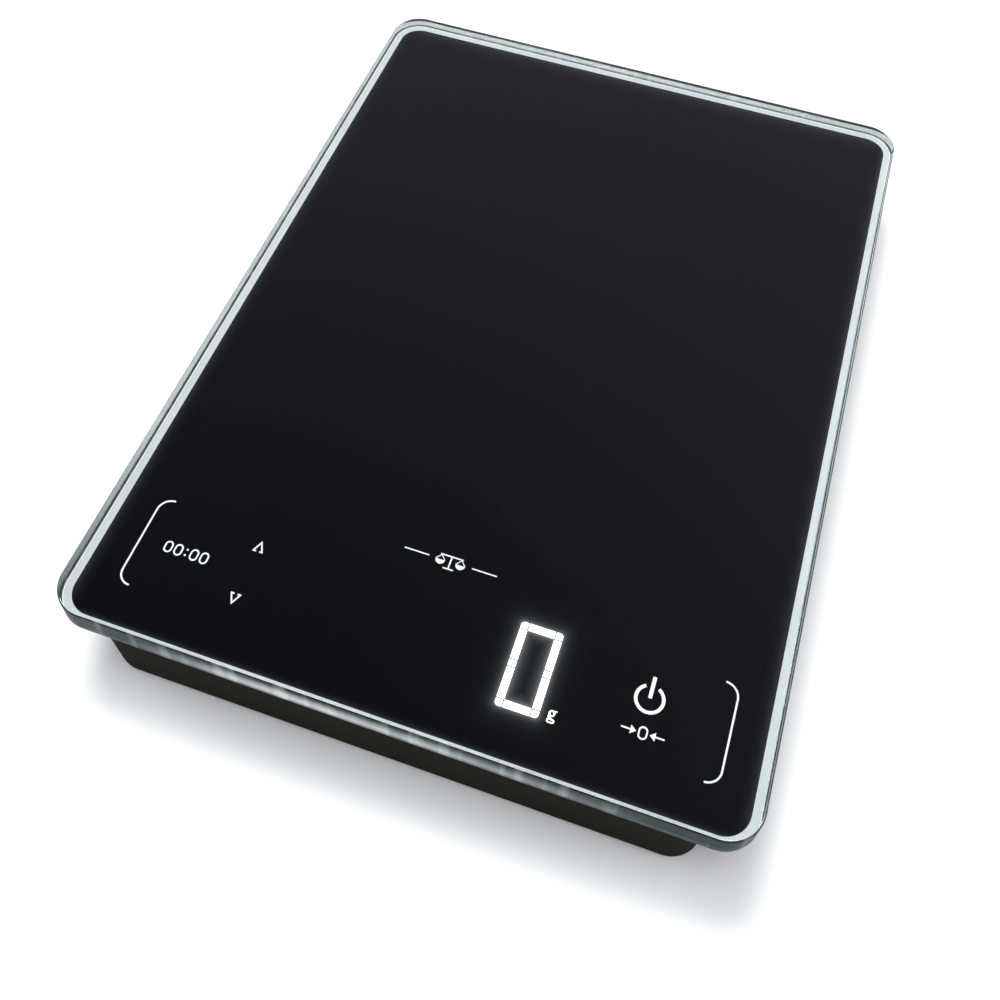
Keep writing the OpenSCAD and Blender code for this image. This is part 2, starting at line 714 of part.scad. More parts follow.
module housing_screws() {
  color([0.6, 0.6, 0.62]) for (p = HOUSING_SCREWS) translate([p.x, p.y, floor_z + 5.5]) pan_screw(10);
}

module retainer_screws() {
  color([0.6, 0.6, 0.62]) for (p = FEET, e = ears(p))
    translate([p.x + e.x, p.y + e.y, retainer_z + retainer_t]) mirror([0, 0, 1]) pan_screw(5.5);
}

module board_screws() {
  color([0.6, 0.6, 0.62]) for (p = BOARD_SCREWS) translate([p.x, p.y, board_z]) pan_screw(5);
}

wire_d = 0.9;
strand_gap = 1.4;
over_retainer_z = retainer_z + retainer_t + wire_d / 2 + 0.02;
on_floor_z = floor_top + wire_d / 2 + 0.05;
plug_wire_z = board_z - 2.3;
plug_y = -87;

function plug_x(s, i) = s * (20 + 2.5 * i);

// Three strands from each front load cell to the front of its plug under the board
module cell_wires_front() {
  color([0.8, 0.2, 0.15]) for (s = [-1, 1], i = [0:2]) {
    start_x = s * (foot_x - 5);
    start_y = -foot_y - 8 + strand_gap * i;
    turn_x = s * (28 + strand_gap * i);
    turn_y = plug_y - 8.8 + 1.2 * i;
    z = over_retainer_z;
    wire([
      [start_x, start_y, retainer_z + 0.7],
      [start_x, start_y, z],
      [turn_x, start_y, z],
      [turn_x, turn_y, z],
      [plug_x(s, i), turn_y, z],
      [plug_x(s, i), plug_y - 1.5, z]
    ], wire_d);
  }
}

// Three strands from each rear load cell along the floor to the back of the same plug
module cell_wires_rear() {
  color([0.2, 0.3, 0.7]) for (s = [-1, 1], i = [0:2]) {
    start_x = s * (foot_x - 5);
    start_y = foot_y - 8 - strand_gap * i;
    run_x = s * (28 + strand_gap * i);
    turn_y = -78 - 1.2 * i;
    wire([
      [start_x, start_y, retainer_z + 0.7],
      [start_x, start_y, over_retainer_z],
      [run_x, start_y, over_retainer_z],
      [run_x, start_y, on_floor_z],
      [run_x, turn_y, on_floor_z],
      [plug_x(s, i), turn_y, on_floor_z],
      [plug_x(s, i), plug_y + 2.5, on_floor_z],
      [plug_x(s, i), plug_y + 2.5, plug_wire_z],
      [plug_x(s, i), plug_y, plug_wire_z]
    ], wire_d);
  }
}

// Lead from the front wall of the battery bay to the middle plug
module battery_wire(x) {
  bay_face_y = battery_y - bay_l / 2 - bay_wall;
  drop_y = bay_face_y - 4.5;
  wire([
    [x, bay_face_y, 8],
    [x, drop_y, 8],
    [x, drop_y, on_floor_z],
    [x, plug_y + 2.5, on_floor_z],
    [x, plug_y + 2.5, plug_wire_z],
    [x, plug_y, plug_wire_z]
  ], wire_d);
}

module battery_wire_plus() { color("red") battery_wire(14.5); }
module battery_wire_minus() { color([0.1, 0.1, 0.1]) battery_wire(10.5); }

glass_platform();
black_print_layer();
border_print_layer();
printed_symbols();
display_window();
adhesive_tape();
upper_tray();
lower_housing();
battery_door();
door_seal();
battery_1();
battery_2();
battery_3();
battery_springs();
battery_plates();
main_board();
microcontroller();
display_driver();
board_components();
board_connectors();
display_reflector();
display_leds();
display_diffuser();
touch_springs();
buzzer();
switch_body();
switch_plunger();
unit_button();
load_cell_front_left();
load_cell_front_right();
load_cell_rear_left();
load_cell_rear_right();
cell_retainer_front_left();
cell_retainer_front_right();
cell_retainer_rear_left();
cell_retainer_rear_right();
strain_gauges();
foot_cup_front_left();
foot_cup_front_right();
foot_cup_rear_left();
foot_cup_rear_right();
foot_pad_front_left();
foot_pad_front_right();
foot_pad_rear_left();
foot_pad_rear_right();
housing_screws();
retainer_screws();
board_screws();
cell_wires_front();
cell_wires_rear();
battery_wire_plus();
battery_wire_minus();
rating_label();
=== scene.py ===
"""Looks for a glass-top kitchen scale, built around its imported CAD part. Lengths are in metres."""

import math

import bmesh
import bpy
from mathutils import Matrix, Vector


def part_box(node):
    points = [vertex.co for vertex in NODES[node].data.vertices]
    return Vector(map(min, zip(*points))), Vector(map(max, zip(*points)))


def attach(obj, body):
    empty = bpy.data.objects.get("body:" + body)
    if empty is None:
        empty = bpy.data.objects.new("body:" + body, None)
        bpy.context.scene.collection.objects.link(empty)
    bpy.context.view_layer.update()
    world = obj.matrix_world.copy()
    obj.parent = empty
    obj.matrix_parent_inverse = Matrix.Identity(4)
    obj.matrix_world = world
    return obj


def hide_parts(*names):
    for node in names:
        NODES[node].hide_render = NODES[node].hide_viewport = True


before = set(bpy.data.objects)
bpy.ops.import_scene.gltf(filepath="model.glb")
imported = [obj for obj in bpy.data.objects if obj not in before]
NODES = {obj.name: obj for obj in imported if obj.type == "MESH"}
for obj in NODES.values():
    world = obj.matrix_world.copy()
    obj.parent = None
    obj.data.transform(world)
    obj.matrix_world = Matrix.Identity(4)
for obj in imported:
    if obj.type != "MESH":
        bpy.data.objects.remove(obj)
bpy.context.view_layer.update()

# ---------------------------------------------------------------- driving sizes

MM = 0.001
GLASS_RADIUS = 10 * MM  # plan radius of the glass corners
WINDOW_RADIUS = 0.5 * MM
LABEL_RADIUS = 2 * MM
ARRIS = 0.6 * MM  # polished round along the glass edges
ARRIS_STEPS = 4
ARC_STEPS = 24  # steps round one corner of an outline
PRINT_SINK = 0.02 * MM  # how far a print reaches into the glass, so that no air shows between them
MARK_SINK = 0.04 * MM
LIT_SINK = 0.05 * MM
LIT_RISE = 0.05 * MM  # how far above the foot of the window the lit pieces start

glass_low, glass_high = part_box("glass_platform")
black_low, black_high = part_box("black_print_layer")
border_low, border_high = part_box("border_print_layer")
window_low, window_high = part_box("display_window")
label_low, label_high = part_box("rating_label")
GLASS_W = glass_high.x - glass_low.x
GLASS_D = glass_high.y - glass_low.y
BLACK_W = black_high.x - black_low.x
BLACK_D = black_high.y - black_low.y
BORDER_W = border_high.x - border_low.x
BORDER_D = border_high.y - border_low.y
BLACK_RADIUS = GLASS_RADIUS - (GLASS_W - BLACK_W) / 2
BORDER_RADIUS = GLASS_RADIUS - (GLASS_W - BORDER_W) / 2
PRINT_LOW = black_low.z
PRINT_HIGH = glass_low.z + PRINT_SINK
MARK_HIGH = glass_low.z + MARK_SINK
LIT_LOW = window_low.z + LIT_RISE
LIT_HIGH = glass_low.z + LIT_SINK

# Marks on the glass, seen from above
STANDBY_AT = Vector((61.6, -100.1)) * MM
TARE_AT = Vector((62.1, -109.2)) * MM
TIMER_AT = Vector((-68.6, -102.2)) * MM
ARROW_X = -50.5 * MM
ARROW_UP_Y = -95.7 * MM
ARROW_DOWN_Y = -108.5 * MM
BRACKET_LEFT_X = -82.4 * MM
BRACKET_RIGHT_X = 83.1 * MM
BRACKET_Y = -102.5 * MM
BALANCE_AT = Vector((0.4, -80.8)) * MM
MARK_LINE = 0.42 * MM
ZERO_LINE = 0.45 * MM
ZERO_TALL = 3.5 * MM

# The lit digit and its unit
DIGIT_AT = Vector((30.1, -102.6)) * MM
DIGIT_W = 11.6 * MM
DIGIT_H = 23.8 * MM
DIGIT_STROKE = 2.05 * MM
DIGIT_JOINT = 0.32 * MM
DIGIT_CORNER = 1.0 * MM
DIGIT_EDGE = 0.05 * MM
UNIT_AT = Vector((39.1, -112.7)) * MM

# The glow round the digit: a near part and a weaker, wider one
GLOW_COLOUR = (0.93, 0.95, 1.0, 1)
GLOW = 0.16
GLOW_NEAR = 0.5 * MM
GLOW_WIDE = 1.7 * MM
WIDE_INSIDE = 0.65  # how strong the wide part is inside the nought, as a share of the near part
WIDE_OUTSIDE = 0.32
INSIDE_DEPTH = 0.8 * MM  # how far inside the stroke's middle that share is reached

# Stage, light and camera
FLOOR_SIZE = 30.0
FLOOR_CELLS = 24
ROOM_LEAN = -0.35  # below 0, the room is brighter to the right
LAMPS_AIM = Vector((0, 0, 0))
SIDE_LAMP = (0.25, 0.9)
SIDE_POWER = 1.6
CAMERA_AT = (0.05401, -0.23042, 0.33913)
CAMERA_TURN = (38.9407, -1.866, 18.481)  # degrees about X, Y and Z
CAMERA_LENS = 44.88
CAMERA_SENSOR = 36
CAMERA_SHIFT = -0.2
CAMERA_NEAR = 0.01


# ---------------------------------------------------------------- material helpers


def shade(colour, factor):
    """A darker or lighter version of a colour."""
    return tuple(min(1.0, c * factor) for c in colour)


def set_stops(ramp, stops):
    """Fills a colour ramp node: each stop is (position, colour)."""
    marks = ramp.color_ramp.elements
    while len(marks) < len(stops):
        marks.new(0.5)
    for mark, (position, colour) in zip(marks, stops):
        mark.position = position
        mark.color = (*colour, 1.0)


class Look:
    """A material being made: one Principled shader, and short calls that add nodes and join them."""

    def __init__(self, name, **sockets):
        self.material = bpy.data.materials.new(name)
        self.material.use_nodes = True
        self.tree = self.material.node_tree
        self.tree.nodes.clear()
        self.out = self.node("OutputMaterial")
        self.shader = self.node("BsdfPrincipled")
        self.join(self.shader.outputs[0], self.out.inputs["Surface"])
        coordinates = self.node("TexCoord").outputs
        self.place = coordinates["Object"]
        self.normal = coordinates["Normal"]
        for key, value in sockets.items():
            self.shader.inputs[key.replace("_", " ")].default_value = value

    def node(self, kind, inputs=None, **settings):
        """Adds a node, with its settings and its inputs."""
        made = self.tree.nodes.new("ShaderNode" + kind)
        for key, value in settings.items():
            setattr(made, key, value)
        for key, value in (inputs or {}).items():
            self.feed(made.inputs[key], value)
        return made

    def join(self, source, target):
        """Links an output socket to an input socket."""
        self.tree.links.new(source, target)

    def feed(self, target, value):
        """Links an input to a socket, or sets it to a value."""
        if isinstance(value, bpy.types.NodeSocket):
            self.join(value, target)
        else:
            target.default_value = value

    def set(self, key, source):
        """Links a socket to an input of the Principled shader."""
        self.join(source, self.shader.inputs[key])

    def split(self, vector):
        """The X, Y and Z of a vector."""
        return self.node("SeparateXYZ", {"Vector": vector}).outputs

    def maths(self, operation, *values):
        """The result of a Math node."""
        made = self.node("Math", operation=operation)
        for slot, value in enumerate(values):
            self.feed(made.inputs[slot], value)
        return made.outputs[0]

    def times(self, first, second):
        """The product of two values."""
        return self.maths("MULTIPLY", first, second)

    def mean(self, first, second):
        """Halfway between two patterns."""
        return self.maths("MULTIPLY_ADD", first, 0.5, self.times(second, 0.5))

    def from_middle(self, along, middle):
        """How far a coordinate is from a middle, either way."""
        return self.maths("ABSOLUTE", self.maths("SUBTRACT", along, middle))

    def stretch(self, scale):
        """The object's own coordinates, scaled differently along each axis."""
        return self.node("Mapping", {"Vector": self.place, "Scale": scale}).outputs[0]

    def noise(self, size, detail=2.0, place=None):
        """Noise whose lumps are about size metres across."""
        made = self.node("TexNoise", {"Vector": place or self.place, "Scale": 1 / size, "Detail": detail})
        return made.outputs["Fac"]

    def cells(self, size):
        """Distance from the middles of cells about size metres across."""
        return self.node("TexVoronoi", {"Vector": self.place, "Scale": 1 / size}).outputs["Distance"]

    def between(self, factor, low, high, start=0.0, end=1.0):
        """A value that goes from low to high as factor goes from start to end."""
        ends = {"From Min": start, "From Max": end, "To Min": low, "To Max": high}
        return self.node("MapRange", {"Value": factor, **ends}).outputs[0]

    def ramp(self, factor, *stops):
        """A colour that follows stops of (position, colour)."""
        made = self.node("ValToRGB", {"Fac": factor})
        set_stops(made, stops)
        return made.outputs["Color"]

    def curve(self, factor, *stops):
        """A value that follows stops of (position, value)."""
        return self.ramp(factor, *((position, (value,) * 3) for position, value in stops))

    def mottled(self, pattern, colour, spread):
        """A colour that a pattern darkens and lightens by up to spread."""
        return self.ramp(pattern, (0.3, shade(colour, 1 - spread)), (0.7, shade(colour, 1 + spread)))

    def blend(self, factor, first, second):
        """A mix of two colours, each of them a socket or a plain colour."""
        made = self.node("Mix", data_type="RGBA")
        self.feed(made.inputs[0], factor)
        for slot, colour in ((6, first), (7, second)):
            self.feed(made.inputs[slot], (*colour, 1.0) if isinstance(colour, tuple) else colour)
        return made.outputs[2]

    def bump(self, height, depth, strength=1.0):
        """Raises the surface by up to depth metres where height is 1."""
        made = self.node("Bump", {"Height": height, "Distance": depth, "Strength": strength})
        self.set("Normal", made.outputs[0])
        return made

    def soften(self, bump, radius):
        """Rounds the edges under a bump, in the shading only."""
        soft = self.node("Bevel", {"Radius": radius}, samples=4)
        self.join(soft.outputs[0], bump.inputs["Normal"])


# ---------------------------------------------------------------- glass and prints under it


ARRIS_TINT = (0.14, 0.18, 0.19)  # what shows through the rounded edges
WALL_TINT = (0.06, 0.085, 0.09)  # what shows through the ground walls
WALL_PAINTED_SHADE = (0.012, 0.03, 0.034)  # painted shade: the colour of the diffuse veil on the ground walls where no painted light falls
WALL_PAINTED_LIGHT = (0.82, 0.86, 0.86)  # painted light: the veil's colour where the most painted light falls
ARRIS_SHARE = 0.8  # how much of a rounded edge the veil covers, painting it as a dark line
BLACK_INK = (0.0033, 0.0031, 0.0038)


def painted_wall_light(look, at, up):
    """Painted light on the ground walls: a paler patch, most below mid height and left of the middle, with
    streaks.
    """
    left_by, full_reach, last_reach = 25 * MM, 10 * MM, 95 * MM
    height = look.curve(up, (0.0, 0), (0.1, 0.27), (0.35, 1), (0.6, 0.6), (0.85, 0.06), (0.95, 0))
    offset = look.maths("ADD", at["X"], left_by)
    aside = look.maths("MAXIMUM", offset, look.times(offset, -2.0))
    patch = look.times(height, look.between(aside, 1.0, 0.0, full_reach, last_reach))
    streaks = look.noise(4 * MM, 2.0, look.stretch((1, 1, 0.04)))
    uneven = look.between(streaks, 0.8, 1.15, 0.35, 0.65)
    return look.maths("MULTIPLY_ADD", patch, uneven, look.between(streaks, 0.0, 0.2, 0.55, 0.75))


def clear_glass():
    """Low-iron float glass: clear through the face, grey teal along its ground walls, where a diffuse veil
    paints light and shade.
    """
    front, behind = -124 * MM, -70 * MM
    look = Look("clear_glass", IOR=1.52, Transmission_Weight=1.0)
    level = look.maths("ABSOLUTE", look.split(look.normal)["Z"])
    wall = look.between(level, 1.0, 0.0, 0.05, 0.3)
    patch = look.noise(25 * MM, 0.0)
    look.set("Roughness", look.times(wall, look.between(patch, 0.1, 0.17, 0.3, 0.7)))
    at = look.split(look.place)
    up = look.between(at["Z"], 0.0, 1.0, glass_low.z, glass_high.z)
    arris = look.ramp(level, (0.3, ARRIS_TINT), (0.9, ARRIS_TINT), (0.97, (1, 1, 1)))
    # Painted shade: what shows through the walls is darker towards their bottom and their top
    ground = look.ramp(
        up, (0.0, shade(WALL_TINT, 0.12)), (0.12, shade(WALL_TINT, 0.3)), (0.3, WALL_TINT),
        (0.75, WALL_TINT), (0.9, shade(WALL_TINT, 0.2)), (1.0, shade(WALL_TINT, 0.08)),
    )
    look.set("Base Color", look.blend(wall, arris, ground))
    # A diffuse veil stands for the ground walls and paints light and shade on them: it is thickest on the
    # front wall, and paints a dark line over most of the rounded edges everywhere
    veil = look.node("BsdfDiffuse", {"Color": look.blend(painted_wall_light(look, at, up), WALL_PAINTED_SHADE, WALL_PAINTED_LIGHT)})
    painted_front_share = look.between(at["Y"], 0.7, 0.15, front, behind)
    rounding = look.curve(level, (0.1, 0), (0.25, ARRIS_SHARE), (0.9, ARRIS_SHARE), (0.97, 0))
    share = look.maths("MAXIMUM", look.times(wall, painted_front_share), rounding)
    body = look.node("MixShader", {0: share, 1: look.shader.outputs[0], 2: veil.outputs[0]})
    # The lamps reach what is under the glass straight through it
    lamp = look.node("LightPath").outputs["Is Shadow Ray"]
    window = look.node("BsdfTransparent", {"Color": (0.93, 0.95, 0.95, 1)})
    mixed = look.node("MixShader", {0: lamp, 1: body.outputs[0], 2: window.outputs[0]})
    look.join(mixed.outputs[0], look.out.inputs["Surface"])
    tint = look.node("VolumeAbsorption", {"Color": (0.0, 0.42, 0.46, 1), "Density": 9.0})
    look.join(tint.outputs[0], look.out.inputs["Volume"])
    return look.material


def from_rim(look):
    """How far in from the rim of the black print a point lies, weighed so that the painted grey band reaches
    furthest in at the back.
    """
    side_weight, front_weight, back_weight = 1.5, 3.0, 0.7
    at = look.split(look.place)
    beside = look.maths("SUBTRACT", BLACK_W / 2, look.maths("ABSOLUTE", at["X"]))
    front = look.maths("ADD", at["Y"], BLACK_D / 2)
    back = look.maths("SUBTRACT", BLACK_D / 2, at["Y"])
    ends = look.maths("MINIMUM", look.times(front, front_weight), look.times(back, back_weight))
    return look.maths("MINIMUM", look.times(beside, side_weight), ends)


def glow(look):
    """Light that bleeds through the print round the lit digit, strongest beside its stroke."""
    at = look.split(look.place)
    beside = look.maths("SUBTRACT", look.from_middle(at["X"], DIGIT_AT.x), (DIGIT_W - DIGIT_STROKE) / 2)
    beyond = look.maths("SUBTRACT", look.from_middle(at["Y"], DIGIT_AT.y), (DIGIT_H - DIGIT_STROKE) / 2)
    out_x = look.maths("MAXIMUM", beside, 0.0)
    out_y = look.maths("MAXIMUM", beyond, 0.0)
    outside = look.maths("SQRT", look.maths("ADD", look.times(out_x, out_x), look.times(out_y, out_y)))
    inside = look.maths("MINIMUM", look.maths("MAXIMUM", beside, beyond), 0.0)
    from_line = look.maths("ABSOLUTE", look.maths("ADD", outside, inside))
    from_edge = look.maths("MAXIMUM", look.maths("SUBTRACT", from_line, DIGIT_STROKE / 2), 0.0)
    near = look.maths("POWER", math.exp(-1), look.maths("DIVIDE", from_edge, GLOW_NEAR))
    wide = look.maths("POWER", math.exp(-1), look.maths("DIVIDE", from_edge, GLOW_WIDE))
    within = look.between(inside, GLOW * WIDE_INSIDE, GLOW * WIDE_OUTSIDE, -INSIDE_DEPTH, 0.0)
    look.set("Emission Strength", look.maths("MULTIPLY_ADD", near, GLOW, look.times(wide, within)))


def glowing_black(name):
    """Black enamel that the lit digit glows through: the look so far, and its colour."""
    look = Look(name, Specular_IOR_Level=0.0, Emission_Color=GLOW_COLOUR)
    glow(look)
    mottle = look.noise(12 * MM, 1.0)
    look.set("Roughness", look.between(mottle, 0.5, 0.6))
    return look, look.mottled(mottle, BLACK_INK, 0.02)


def black_ink(name):
    """The black print with a painted reflection: a grey band just inside its rim, with the rim itself left
    black as a painted shadow line.
    """
    greying = 6 * MM
    look, body = glowing_black(name)
    # Painted reflection: a grey band just inside the rim, added to the ink; the rim itself stays black as
    # painted shade
    thin = look.ramp(
        look.between(from_rim(look), 0.0, 1.0, 0.0, greying),
        (0.0, (0.0, 0.0, 0.0)), (0.045, (0.0, 0.0, 0.0)), (0.075, (0.026, 0.0255, 0.026)),
        (0.2, (0.011, 0.011, 0.0115)), (0.5, (0.003, 0.003, 0.0035)), (1.0, (0.0, 0.0, 0.0)),
    )
    both = look.node("Mix", {0: 1.0, 6: body, 7: thin}, data_type="RGBA", blend_type="ADD")
    look.set("Base Color", both.outputs[2])
    return look.material


def lit_window(name):
    """The window over the display, as black as the print round it."""
    look, body = glowing_black(name)
    look.set("Base Color", body)
    return look.material


def ink(name, colour, roughness=0.55):
    """Screen-printed enamel under the glass, with the faint mottle of the mesh it was pressed through."""
    look = Look(name, Specular_IOR_Level=0.0)
    mottle = look.noise(6 * MM, 3.0)
    drift = look.noise(30 * MM, 2.0)
    both = look.maths("MULTIPLY_ADD", drift, 0.6, look.times(mottle, 0.4))
    look.set("Base Color", look.mottled(both, colour, 0.03))
    look.set("Roughness", look.between(mottle, roughness - 0.06, roughness + 0.06))
    return look.material


# ---------------------------------------------------------------- other materials


def moulded(name, colour, roughness=0.42, gloss=0.5):
    """Injection-moulded plastic with a fine spark-eroded grain, a little uneven, with softened edges."""
    grain, depth, edge = 0.45 * MM, 0.02 * MM, 0.35 * MM
    look = Look(name, Specular_IOR_Level=gloss)
    cloud = look.noise(18 * MM, 3.0)
    fine = look.noise(grain, 2.0)
    pits = look.cells(grain * 1.6)
    look.set("Base Color", look.mottled(cloud, colour, 0.14))
    uneven = look.mean(fine, cloud)
    look.set("Roughness", look.between(uneven, roughness - 0.07, roughness + 0.07, 0.3, 0.7))
    look.soften(look.bump(look.maths("MULTIPLY_ADD", pits, 0.6, fine), depth, 0.6), edge)
    return look.material


def metal(name, colour, roughness=0.3, along=(1, 1, 1), streak=0.25 * MM):
    """Stamped or turned metal with fine streaks; along stretches them."""
    depth, edge = 0.01 * MM, 0.15 * MM
    look = Look(name, Metallic=1.0)
    lines = look.noise(streak, 4.0, look.stretch(along))
    stain = look.noise(7 * MM, 3.0)
    look.set("Base Color", look.ramp(stain, (0.3, shade(colour, 0.82)), (0.75, colour)))
    look.set("Roughness", look.between(lines, roughness - 0.08, roughness + 0.12, 0.3, 0.7))
    look.soften(look.bump(lines, depth, 0.5), edge)
    return look.material


def rubber(name, colour):
    """Matte silicone with fine dust in its pores."""
    look = Look(name, Specular_IOR_Level=0.3)
    dust = look.noise(1.2 * MM, 5.0)
    look.set("Base Color", look.ramp(dust, (0.45, colour), (0.85, shade(colour, 1.9))))
    look.set("Roughness", look.between(dust, 0.7, 0.9))
    look.bump(look.noise(0.2 * MM, 3.0), 0.03 * MM, 0.6)
    return look.material


def foam(name, colour):
    """Open-cell foam: dark pores in a paler web."""
    look = Look(name, Specular_IOR_Level=0.1)
    pores = look.cells(0.5 * MM)
    look.set("Base Color", look.ramp(pores, (0.1, shade(colour, 0.4)), (0.6, shade(colour, 1.3))))
    look.set("Roughness", look.between(pores, 0.85, 0.98))
    look.bump(pores, 0.15 * MM, 0.8)
    return look.material


def circuit_board(name):
    """Green solder mask over copper tracks that run square to each other, with tinned pads."""
    track_pitch, pad_pitch = 9 * MM, 3.2 * MM
    layout = {"Mortar Size": 0.045, "Mortar Smooth": 0.3, "Brick Width": 0.8, "Row Height": 0.22}
    look = Look(name)
    tracks = look.node("TexBrick", {"Vector": look.place, "Scale": 1 / track_pitch, **layout}).outputs["Fac"]
    pads = look.maths("LESS_THAN", look.cells(pad_pitch), 0.16)
    weave = look.noise(0.6 * MM, 2.0)
    mask = look.ramp(weave, (0.3, (0.008, 0.09, 0.045)), (0.7, (0.012, 0.125, 0.06)))
    green = look.blend(tracks, mask, (0.03, 0.24, 0.11))
    look.set("Base Color", look.blend(pads, green, (0.72, 0.7, 0.64)))
    look.set("Metallic", pads)
    look.set("Roughness", look.between(weave, 0.28, 0.42))
    look.bump(look.maths("MAXIMUM", tracks, pads), 0.03 * MM, 0.7)
    return look.material


def speckled(name, colour, second, size=0.8 * MM, roughness=0.45):
    """Small parts of two tones, such as chip resistors, capacitors and LED chips."""
    look = Look(name)
    patch = look.cells(size * 3)
    fine = look.noise(size, 3.0)
    look.set("Base Color", look.ramp(look.mean(fine, patch), (0.25, colour), (0.6, second)))
    look.set("Roughness", look.between(fine, roughness - 0.08, roughness + 0.1))
    look.bump(fine, 0.02 * MM, 0.4)
    return look.material


def chip_body(name):
    """Black moulding compound, matte and faintly grainy."""
    look = Look(name)
    fine = look.noise(0.15 * MM, 3.0)
    look.set("Base Color", look.ramp(fine, (0.3, (0.012, 0.012, 0.013)), (0.7, (0.028, 0.028, 0.03))))
    look.set("Roughness", look.between(fine, 0.5, 0.68))
    look.bump(fine, 0.02 * MM, 0.6)
    return look.material


def battery_jacket(name):
    """Printed shrink sleeve: a slate body, a pale band and a black end, between bare metal ends."""
    bare, band, black = (0.62, 0.62, 0.64), (0.55, 0.57, 0.6), (0.02, 0.02, 0.025)
    look = Look(name)
    low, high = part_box("battery_1")
    along = look.between(look.split(look.place)["Y"], 0.0, 1.0, low.y, high.y)
    sleeve = look.ramp(
        along, (0.035, bare), (0.045, (0.025, 0.035, 0.06)), (0.62, (0.03, 0.045, 0.08)),
        (0.625, band), (0.66, band), (0.665, black), (0.94, black), (0.95, bare),
    )
    scuff = look.noise(2.5 * MM, 5.0)
    worn = look.between(scuff, 0.0, 0.25, 0.5, 0.9)
    look.set("Base Color", look.blend(worn, sleeve, (0.4, 0.42, 0.45)))
    look.set("Roughness", look.between(scuff, 0.22, 0.42))
    look.bump(scuff, 0.01 * MM, 0.4)
    return look.material


def cable_skin(name, colour):
    """Drawn PVC insulation, a little wavy along its length."""
    look = Look(name)
    wave = look.noise(2.2 * MM, 2.0)
    look.set("Base Color", look.mottled(wave, colour, 0.2))
    look.set("Roughness", look.between(wave, 0.35, 0.5))
    look.bump(look.noise(0.4 * MM), 0.02 * MM, 0.5)
    return look.material


def label_foil(name):
    """Satin silver label with a thin dark frame and two ruled lines, and no words."""
    frame_inset, rule_inset, ink_limit = 2.4 * MM, 12 * MM, 2.1 * MM
    look = Look(name, Metallic=0.75)
    at = look.split(look.place)
    middle = (label_low + label_high) / 2
    half = (label_high - label_low) / 2
    from_side = look.maths("SUBTRACT", half.x, look.from_middle(at["X"], middle.x))
    from_end = look.maths("SUBTRACT", half.y, look.from_middle(at["Y"], middle.y))
    inset = look.maths("MINIMUM", from_side, from_end)
    frame_line = look.maths("COMPARE", inset, frame_inset, 0.2 * MM)
    ruled = look.maths("COMPARE", from_end, rule_inset, 0.15 * MM)
    within = look.maths("GREATER_THAN", inset, ink_limit)
    inked = look.times(look.maths("MAXIMUM", frame_line, ruled), within)
    brushed = look.noise(0.3 * MM, 3.0, look.stretch((0.05, 1, 1)))
    silver = look.ramp(brushed, (0.3, (0.5, 0.5, 0.51)), (0.7, (0.64, 0.64, 0.66)))
    look.set("Base Color", look.blend(inked, silver, (0.03, 0.03, 0.03)))
    look.set("Roughness", look.between(brushed, 0.28, 0.45))
    return look.material


def lit_segment(name):
    """A light-guide segment: a white light, a little uneven."""
    look = Look(name, Base_Color=(0.9, 0.9, 0.9, 1), Emission_Color=(1.0, 1.0, 1.0, 1))
    patch = look.noise(4 * MM, 2.0)
    look.set("Emission Strength", look.between(patch, 1.35, 1.6, 0.3, 0.7))
    look.set("Roughness", look.between(patch, 0.4, 0.5))
    return look.material


def pale_floor(name):
    """A white floor that glows more away from the part, so that it stays white to the horizon."""
    look = Look(name, Specular_IOR_Level=0.0, Emission_Color=(1, 1, 1, 1))
    cloud = look.noise(0.5, 2.0)
    look.set("Base Color", look.ramp(cloud, (0.3, (0.88, 0.88, 0.88)), (0.7, (0.9, 0.9, 0.9))))
    look.set("Roughness", look.between(cloud, 0.85, 0.95))
    reach = look.node("VectorMath", {0: look.place}, operation="LENGTH").outputs["Value"]
    look.set("Emission Strength", look.between(reach, 0.0, 1.0, 0.45, 1.6))
    return look.material


